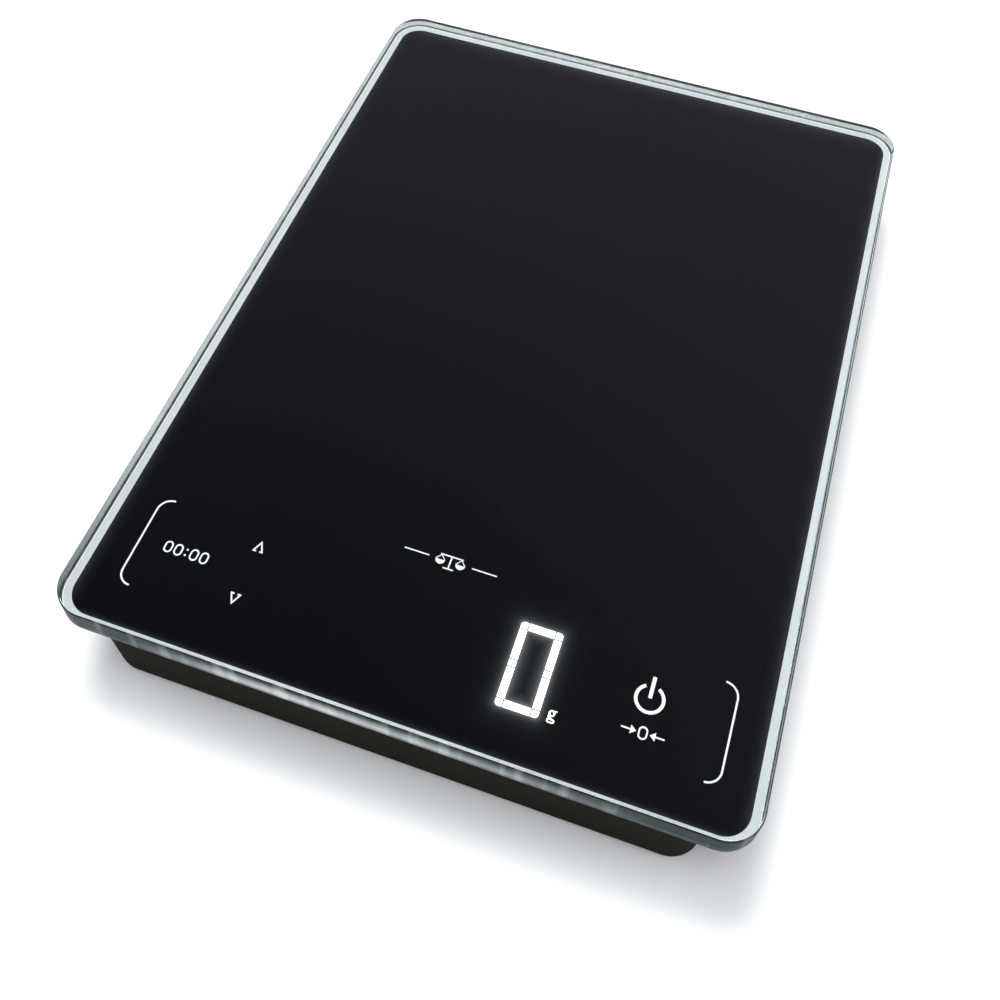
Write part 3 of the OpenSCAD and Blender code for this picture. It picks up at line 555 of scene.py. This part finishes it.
HOUSING_BLACK = (0.0118, 0.0118, 0.01)
LOOKS = {
    "clear_glass": clear_glass(),
    "black_print": black_ink("black_print"),
    "pale_border": ink("pale_border", (0.55, 0.56, 0.565), 0.5),
    "white_print": ink("white_print", (0.86, 0.87, 0.87)),
    "smoked_window": lit_window("smoked_window"),
    "foam_tape": foam("foam_tape", (0.06, 0.06, 0.06)),
    "housing_plastic": moulded("housing_plastic", HOUSING_BLACK, 0.6, gloss=0.01),
    "tray_plastic": moulded("tray_plastic", (0.03, 0.03, 0.03), 0.5),
    "foam": foam("foam", (0.12, 0.12, 0.13)),
    "battery_can": battery_jacket("battery_can"),
    "spring_steel": metal("spring_steel", (0.78, 0.78, 0.8), 0.25, streak=0.15 * MM),
    "board_green": circuit_board("board_green"),
    "chip_black": chip_body("chip_black"),
    "component_ceramic": speckled("component_ceramic", (0.4, 0.3, 0.2), (0.6, 0.55, 0.46)),
    "ivory_plastic": moulded("ivory_plastic", (0.75, 0.71, 0.6), 0.4),
    "reflector_white": moulded("reflector_white", (0.85, 0.85, 0.84), 0.35),
    "led_chip": speckled("led_chip", (0.9, 0.72, 0.2), (0.95, 0.93, 0.85), 0.5 * MM, 0.3),
    "diffuser_white": moulded("diffuser_white", (0.86, 0.86, 0.86), 0.5),
    "contact_brass": metal("contact_brass", (0.8, 0.6, 0.28), 0.28, streak=0.15 * MM),
    "buzzer_black": moulded("buzzer_black", (0.02, 0.02, 0.02), 0.35),
    "switch_black": moulded("switch_black", (0.03, 0.03, 0.03), 0.45),
    "switch_red": moulded("switch_red", (0.5, 0.06, 0.03), 0.4),
    "button_grey": moulded("button_grey", (0.12, 0.12, 0.12), 0.45),
    "cell_steel": metal("cell_steel", (0.62, 0.62, 0.64), 0.34, along=(1, 0.08, 1)),
    "gauge_foil": metal("gauge_foil", (0.7, 0.4, 0.16), 0.35, along=(0.1, 1, 1)),
    "retainer_plastic": moulded("retainer_plastic", (0.035, 0.035, 0.035), 0.5),
    "foot_plastic": moulded("foot_plastic", HOUSING_BLACK, 0.6, gloss=0.01),
    "foot_rubber": rubber("foot_rubber", (0.05, 0.05, 0.053)),
    "screw_steel": metal("screw_steel", (0.6, 0.6, 0.62), 0.3, streak=0.12 * MM),
    "wire_red": cable_skin("wire_red", (0.5, 0.04, 0.03)),
    "wire_blue": cable_skin("wire_blue", (0.04, 0.1, 0.4)),
    "wire_black": cable_skin("wire_black", (0.015, 0.015, 0.015)),
    "label_silver": label_foil("label_silver"),
}
LIT_SEGMENT = lit_segment("lit_segment")


def paint_cad_nodes():
    """Gives each carried-over CAD node the look of the slot that its material is named after."""
    for node in NODES.values():
        for holder in node.material_slots:
            slot = holder.material.name.split(".")[0]
            holder.material = LOOKS[slot]


# ---------------------------------------------------------------- mesh helpers


def shifted(point, x, y):
    """A point x and y millimetres away from another."""
    return point + Vector((x * MM, y * MM))


def arc(centre, radius, start, end, steps):
    """Points on an arc, with both its ends; the angles are in degrees."""
    turns = [math.radians(start + (end - start) * i / steps) for i in range(steps + 1)]
    return [Vector((centre[0] + radius * math.cos(a), centre[1] + radius * math.sin(a))) for a in turns]


def rounded_outline(centre, width, depth, radius, steps=ARC_STEPS):
    """Outline of a rectangle with round corners, counter-clockwise, with steps + 1 points at each corner."""
    points = []
    for quarter, (sx, sy) in enumerate(((1, 1), (-1, 1), (-1, -1), (1, -1))):
        corner = (centre[0] + sx * (width / 2 - radius), centre[1] + sy * (depth / 2 - radius))
        points += arc(corner, radius, 90 * quarter, 90 * quarter + 90, steps)
    return points


def box_outline(low, high, radius, steps=ARC_STEPS):
    """Outline of a box seen from above, with round corners."""
    return rounded_outline((low + high) / 2, high.x - low.x, high.y - low.y, radius, steps)


def ring_of(mesh, outline, height):
    """Vertices along an outline, all at one height."""
    return [mesh.verts.new((p[0], p[1], height)) for p in outline]


def join_rings(mesh, first, second, smooth=False):
    """Quads between two closed rings of the same number of corners."""
    for i in range(len(first)):
        j = (i + 1) % len(first)
        mesh.faces.new((first[i], first[j], second[j], second[i])).smooth = smooth


def add_plate(mesh, outline, low=PRINT_LOW, high=MARK_HIGH):
    """A flat solid of any outline."""
    bottom, top = ring_of(mesh, outline, low), ring_of(mesh, outline, high)
    mesh.faces.new(list(reversed(bottom)))
    mesh.faces.new(top)
    join_rings(mesh, bottom, top)


def add_frame(mesh, outer, inner, low, high):
    """A flat solid between two outlines of the same number of points."""
    outer_low, outer_high = ring_of(mesh, outer, low), ring_of(mesh, outer, high)
    inner_low, inner_high = ring_of(mesh, inner, low), ring_of(mesh, inner, high)
    join_rings(mesh, outer_low, outer_high)
    join_rings(mesh, outer_high, inner_high)
    join_rings(mesh, inner_high, inner_low)
    join_rings(mesh, inner_low, outer_low)


def sides_of(path, width, closed):
    """The left and right edges of a line of that width along a path, mitred at its corners."""
    sharpest = 0.3  # keeps the mitre of a sharp corner short
    count = len(path)
    left, right = [], []
    for i, point in enumerate(path):
        before = path[i - 1] if closed or i > 0 else None
        after = path[(i + 1) % count] if closed or i < count - 1 else None
        steps = [(b - a).normalized() for a, b in ((before, point), (point, after)) if a and b]
        normals = [Vector((-s.y, s.x)) for s in steps]
        middle = sum(normals, Vector((0, 0))).normalized()
        reach = width / 2 / max(sharpest, middle.dot(normals[0]))
        left.append(point + middle * reach)
        right.append(point - middle * reach)
    return left, right


def add_line(mesh, path, width, low=PRINT_LOW, high=MARK_HIGH, closed=False):
    """A flat printed line along a path."""
    path = [Vector(p) for p in path]
    left, right = sides_of(path, width, closed)
    if closed:
        add_frame(mesh, right, left, low, high)
        return
    rings = [ring_of(mesh, edge, z) for edge in (right, left) for z in (low, high)]
    right_low, right_high, left_low, left_high = rings
    for i in range(len(path) - 1):
        mesh.faces.new((right_high[i], right_high[i + 1], left_high[i + 1], left_high[i]))
        mesh.faces.new((left_low[i], left_low[i + 1], right_low[i + 1], right_low[i]))
        mesh.faces.new((right_low[i], right_low[i + 1], right_high[i + 1], right_high[i]))
        mesh.faces.new((left_high[i], left_high[i + 1], left_low[i + 1], left_low[i]))
    for i, flip in ((0, True), (-1, False)):
        end = [right_low[i], left_low[i], left_high[i], right_high[i]]
        mesh.faces.new(list(reversed(end)) if not flip else end)


def finish_piece(mesh, name, slot, *stands_for, look=None):
    """Turns a bmesh into a piece that rides on the scale and shows in place of CAD nodes."""
    bmesh.ops.recalc_face_normals(mesh, faces=mesh.faces)
    data = bpy.data.meshes.new(name)
    mesh.to_mesh(data)
    mesh.free()
    piece = bpy.data.objects.new(name, data)
    bpy.context.scene.collection.objects.link(piece)
    data.materials.append(look or LOOKS[slot])
    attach(piece, "scale_body")
    if stands_for:
        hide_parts(*stands_for)


# ---------------------------------------------------------------- glass, prints and label


def glass_plate():
    """The platform: a ground and polished plate whose edges are rounded over a quarter turn."""
    mesh = bmesh.new()
    turns = [math.radians(90 * i / ARRIS_STEPS) for i in range(ARRIS_STEPS + 1)]
    lower = [(ARRIS * (1 - math.sin(a)), glass_low.z + ARRIS * (1 - math.cos(a))) for a in turns]
    upper = [(inset, glass_low.z + glass_high.z - z) for inset, z in reversed(lower)]
    rings = []
    for inset, z in lower + upper:
        outline = rounded_outline((0, 0), GLASS_W - 2 * inset, GLASS_D - 2 * inset, GLASS_RADIUS - inset)
        rings.append(ring_of(mesh, outline, z))
    mesh.faces.new(list(reversed(rings[0])))
    mesh.faces.new(rings[-1])
    for first, second in zip(rings, rings[1:]):
        join_rings(mesh, first, second, smooth=True)
    for ring in rings:
        for i, vert in enumerate(ring):
            mesh.edges.get((vert, ring[(i + 1) % len(ring)])).smooth = False
    finish_piece(mesh, "glass_plate", "clear_glass", "glass_platform")


def black_print():
    """Black enamel with a window left open over the display."""
    mesh = bmesh.new()
    outer = rounded_outline((0, 0), BLACK_W, BLACK_D, BLACK_RADIUS)
    inner = box_outline(window_low, window_high, WINDOW_RADIUS)
    add_frame(mesh, outer, inner, PRINT_LOW, PRINT_HIGH)
    finish_piece(mesh, "black_print", "black_print", "black_print_layer")


def border_print():
    """Pale enamel band round the black print."""
    mesh = bmesh.new()
    outer = rounded_outline((0, 0), BORDER_W, BORDER_D, BORDER_RADIUS)
    inner = rounded_outline((0, 0), BLACK_W, BLACK_D, BLACK_RADIUS)
    add_frame(mesh, outer, inner, PRINT_LOW, PRINT_HIGH)
    finish_piece(mesh, "border_print", "pale_border", "border_print_layer")


def add_standby(mesh):
    """A ring open at the top with a bar through the gap."""
    radius, half_gap, line, bar = 3.6 * MM, 1.7 * MM, 0.9 * MM, 1.0 * MM
    gap = math.degrees(math.asin(half_gap / radius))
    add_line(mesh, arc(STANDBY_AT, radius, 90 + gap, 450 - gap, 40), line)
    add_line(mesh, [shifted(STANDBY_AT, 0, 0.2), shifted(STANDBY_AT, 0, 6.1)], bar)


def add_bracket(mesh, x, turn):
    """A long bracket whose ends turn towards the middle of the glass; turn is 1 if that is to the right."""
    radius, half, line = 3.8 * MM, 13.4 * MM, 0.5 * MM
    bend_x = x + turn * radius
    side = 180 if turn > 0 else 0
    top = arc((bend_x, BRACKET_Y + half - radius), radius, 90, side, 12)
    low = arc((bend_x, BRACKET_Y - half + radius), radius, side, side + 90 * turn, 12)
    add_line(mesh, top + low, line)


def add_step_arrow(mesh, base_y, up):
    """A narrow outlined triangle whose base is open in the middle; up is -1 where it points down."""
    half, tall, gap = 1.3 * MM, 2.75 * MM * up, 0.45 * MM
    base = base_y + 0.25 * MM * up
    corners = ((-gap, base), (-half, base), (0, base + tall), (half, base), (gap, base))
    add_line(mesh, [(ARROW_X + x, y) for x, y in corners], MARK_LINE)


def add_zero(mesh, centre, width, height, line, low=PRINT_LOW, high=MARK_HIGH):
    """A nought whose ends are all but half round."""
    radius = (min(width, height) - line) / 2 - 0.01 * MM
    outline = rounded_outline(centre, width - line, height - line, radius, 8)
    add_line(mesh, outline, line, low, high, closed=True)


def add_arrow(mesh, tip, turn):
    """A thin arrow along X whose tip is given; turn is 1 where it points to the right."""
    length, head, half, shaft = 3.9 * MM, 1.5 * MM, 1.15 * MM, MARK_LINE / 2
    upper = [(-head, half), (-head, shaft), (-length, shaft)]
    lower = [(x, -y) for x, y in reversed(upper)]
    add_plate(mesh, [(tip[0] + turn * x, tip[1] + y) for x, y in [(0, 0)] + upper + lower])


def add_tare_sign(mesh):
    """Two arrows closing on a nought."""
    add_zero(mesh, TARE_AT, 2.5 * MM, ZERO_TALL, ZERO_LINE)
    for turn in (1, -1):
        add_arrow(mesh, shifted(TARE_AT, turn * -1.75, 0), turn)


def add_timer_sign(mesh):
    """A clock reading of four noughts with two dots between them."""
    zero_width, dot_width, dot_radius = 2.4 * MM, 0.55 * MM, 0.2 * MM
    for offset in (-5.35, -2.35, 2.35, 5.35):
        add_zero(mesh, shifted(TIMER_AT, offset, 0), zero_width, ZERO_TALL, ZERO_LINE)
    for offset in (-0.85, 0.85):
        add_plate(mesh, rounded_outline(shifted(TIMER_AT, 0, offset), dot_width, dot_width, dot_radius, 4))


def add_balance_sign(mesh):
    """A plain balance between two thin rules; its points are in millimetres from its middle."""
    line, rule_line, cord_line, pan_radius = 0.4 * MM, 0.35 * MM, 0.22 * MM, 1.35 * MM
    beam_y, post_top, post_foot, base_y = 1.5, 1.3, -2.1, -2.3
    for side in (-1, 1):
        add_line(mesh, [shifted(BALANCE_AT, side * 6.2, 0), shifted(BALANCE_AT, side * 13.4, 0)], rule_line)
        hook = shifted(BALANCE_AT, side * 2.9, post_top)
        pan = arc(shifted(hook, 0, -1.5), pan_radius, 180, 360, 12)
        add_plate(mesh, pan)
        add_line(mesh, [pan[0], hook, pan[-1]], cord_line)
    add_line(mesh, [shifted(BALANCE_AT, -3.3, beam_y), shifted(BALANCE_AT, 3.3, beam_y)], line)
    add_line(mesh, [shifted(BALANCE_AT, 0, post_top), shifted(BALANCE_AT, 0, post_foot)], line)
    add_line(mesh, [shifted(BALANCE_AT, -1.5, base_y), shifted(BALANCE_AT, 1.5, base_y)], line)


def key_marks():
    """White marks of the touch keys."""
    mesh = bmesh.new()
    add_standby(mesh)
    add_bracket(mesh, BRACKET_LEFT_X, 1)
    add_bracket(mesh, BRACKET_RIGHT_X, -1)
    add_step_arrow(mesh, ARROW_UP_Y, 1)
    add_step_arrow(mesh, ARROW_DOWN_Y, -1)
    finish_piece(mesh, "key_marks", "white_print", "printed_symbols")


def key_signs():
    """Small white signs beside the keys, where the real scale has words."""
    mesh = bmesh.new()
    add_tare_sign(mesh)
    add_timer_sign(mesh)
    add_balance_sign(mesh)
    finish_piece(mesh, "key_signs", "white_print")


def display_face():
    """The window over the display, lit faintly round the digit."""
    mesh = bmesh.new()
    add_plate(mesh, box_outline(window_low, window_high, WINDOW_RADIUS), PRINT_LOW, PRINT_HIGH)
    finish_piece(mesh, "display_face", "smoked_window", "display_window")


def add_block(mesh, x, y, width, height):
    """A straight piece of the digit about its middle, with edges barely rounded."""
    add_plate(mesh, rounded_outline((x, y), width, height, DIGIT_EDGE, 2), LIT_LOW, LIT_HIGH)


def add_corner(mesh, corner, sx, sy, size):
    """A square block of the digit whose outer corner is round; sx and sy point to its inside."""
    bend = (corner[0] + sx * DIGIT_CORNER, corner[1] + sy * DIGIT_CORNER)
    start = 180 if sx > 0 else 0
    curve = arc(bend, DIGIT_CORNER, start, start + 90 * sx * sy, 8)
    far_x, far_y = corner[0] + sx * size, corner[1] + sy * size
    square = [Vector((far_x, corner[1])), Vector((far_x, far_y)), Vector((corner[0], far_y))]
    add_plate(mesh, curve + square, LIT_LOW, LIT_HIGH)


def lit_digit():
    """The lit nought: straight bars, and square ends and middles that fine joints set apart."""
    mesh = bmesh.new()
    half_w, half_h, line, joint = DIGIT_W / 2, DIGIT_H / 2, DIGIT_STROKE, DIGIT_JOINT / 2
    bar_high, bar_low = half_h - line - joint, line / 2 + joint
    for sx in (-1, 1):
        x = DIGIT_AT.x + sx * (half_w - line / 2)
        for sy in (-1, 1):
            add_block(mesh, x, DIGIT_AT.y + sy * (bar_high + bar_low) / 2, line, bar_high - bar_low)
            corner = (DIGIT_AT.x + sx * half_w, DIGIT_AT.y + sy * half_h)
            add_corner(mesh, corner, -sx, -sy, line - joint)
        add_block(mesh, x, DIGIT_AT.y, line, line - 2 * joint)
    for sy in (-1, 1):
        y = DIGIT_AT.y + sy * (half_h - line / 2)
        add_block(mesh, DIGIT_AT.x, y, DIGIT_W - 2 * line - 2 * joint, line)
    finish_piece(mesh, "lit_digit", "diffuser_white", look=LIT_SEGMENT)


def unit_sign():
    """The lit unit: a small two-storey letter for grams."""
    mesh = bmesh.new()
    add_zero(mesh, shifted(UNIT_AT, -0.1, 0.75), 1.7 * MM, 1.75 * MM, 0.42 * MM, LIT_LOW, LIT_HIGH)
    add_zero(mesh, shifted(UNIT_AT, 0.0, -1.2), 2.1 * MM, 1.15 * MM, 0.34 * MM, LIT_LOW, LIT_HIGH)
    link = [shifted(UNIT_AT, *p) for p in ((-0.6, 0.1), (-0.8, -0.2), (-0.6, -0.5), (0.2, -0.62))]
    add_line(mesh, link, 0.32 * MM, LIT_LOW, LIT_HIGH)
    ear = [shifted(UNIT_AT, *p) for p in ((0.5, 1.25), (0.75, 1.5), (1.1, 1.55))]
    add_line(mesh, ear, 0.34 * MM, LIT_LOW, LIT_HIGH)
    finish_piece(mesh, "unit_sign", "diffuser_white", look=LIT_SEGMENT)


def label_sheet():
    """The rating label with round corners."""
    mesh = bmesh.new()
    add_plate(mesh, box_outline(label_low, label_high, LABEL_RADIUS, 10), label_low.z, label_high.z)
    finish_piece(mesh, "label_sheet", "label_silver", "rating_label")


# ---------------------------------------------------------------- stage, light and camera


def pale_stage():
    """A wide floor under the scale."""
    mesh = bmesh.new()
    bmesh.ops.create_grid(mesh, x_segments=FLOOR_CELLS, y_segments=FLOOR_CELLS, size=FLOOR_SIZE)
    data = bpy.data.meshes.new("floor")
    mesh.to_mesh(data)
    mesh.free()
    floor = bpy.data.objects.new("floor", data)
    bpy.context.scene.collection.objects.link(floor)
    data.materials.append(pale_floor("pale_floor"))


def studio_world():
    """A white room: bright round the horizon and dim overhead, so that the glass mirrors a dark ceiling."""
    world = bpy.data.worlds.new("studio")
    bpy.context.scene.world = world
    world.use_nodes = True
    tree = world.node_tree
    place = tree.nodes.new("ShaderNodeTexCoord")
    split = tree.nodes.new("ShaderNodeSeparateXYZ")
    lean = tree.nodes.new("ShaderNodeMath")
    level = tree.nodes.new("ShaderNodeMath")
    ramp = tree.nodes.new("ShaderNodeValToRGB")
    lean.operation = "MULTIPLY_ADD"
    lean.inputs[1].default_value = ROOM_LEAN
    lean.inputs[2].default_value = 1.0
    level.operation = "MULTIPLY"
    tree.links.new(place.outputs["Generated"], split.inputs[0])
    tree.links.new(split.outputs["X"], lean.inputs[0])
    tree.links.new(lean.outputs[0], level.inputs[0])
    tree.links.new(split.outputs["Z"], level.inputs[1])
    tree.links.new(level.outputs[0], ramp.inputs["Fac"])
    tree.links.new(ramp.outputs["Color"], tree.nodes["Background"].inputs["Color"])
    stops = (
        (0.0, (1.05, 1.05, 1.05)), (0.32, (1.0, 1.0, 1.0)), (0.48, (0.42, 0.42, 0.43)),
        (0.62, (0.29, 0.287, 0.32)), (0.78, (0.25, 0.247, 0.28)), (0.93, (0.08, 0.08, 0.09)),
        (1.0, (0.03, 0.03, 0.034)),
    )
    set_stops(ramp, stops)


def soft_box(name, location, size, power, mirrored=True):
    """A rectangular lamp turned to the scale; mirrored says whether shiny surfaces show it."""
    data = bpy.data.lights.new(name, "AREA")
    data.shape = "RECTANGLE"
    data.size, data.size_y = size
    data.energy = power
    lamp = bpy.data.objects.new(name, data)
    bpy.context.scene.collection.objects.link(lamp)
    lamp.visible_glossy = mirrored
    lamp.location = location
    lamp.rotation_euler = (LAMPS_AIM - Vector(location)).to_track_quat("-Z", "Y").to_euler()


def studio_lights():
    """A broad lamp overhead, a key lamp behind on the left, and a narrow lamp at each side."""
    soft_box("overhead", (0.0, -0.35, 2.2), (1.5, 1.2), 23)
    soft_box("key", (-0.45, 0.65, 1.7), (0.8, 0.8), 27, mirrored=False)
    soft_box("left_side", (-1.3, 0.1, 0.7), SIDE_LAMP, SIDE_POWER)
    soft_box("right_side", (1.3, 0.1, 0.7), SIDE_LAMP, SIDE_POWER)


def photo_camera():
    """The photograph's viewing angle: from above the front right, the glass filling the frame."""
    data = bpy.data.cameras.new("camera")
    data.sensor_width = CAMERA_SENSOR
    data.lens = CAMERA_LENS
    data.shift_y = CAMERA_SHIFT
    data.clip_start = CAMERA_NEAR
    camera = bpy.data.objects.new("camera", data)
    bpy.context.scene.collection.objects.link(camera)
    camera.location = CAMERA_AT
    camera.rotation_euler = [math.radians(a) for a in CAMERA_TURN]
    bpy.context.scene.camera = camera


paint_cad_nodes()
glass_plate()
black_print()
border_print()
key_marks()
key_signs()
display_face()
lit_digit()
unit_sign()
label_sheet()

pale_stage()
studio_world()
studio_lights()
photo_camera()
bpy.context.scene.view_settings.view_transform = "Standard"
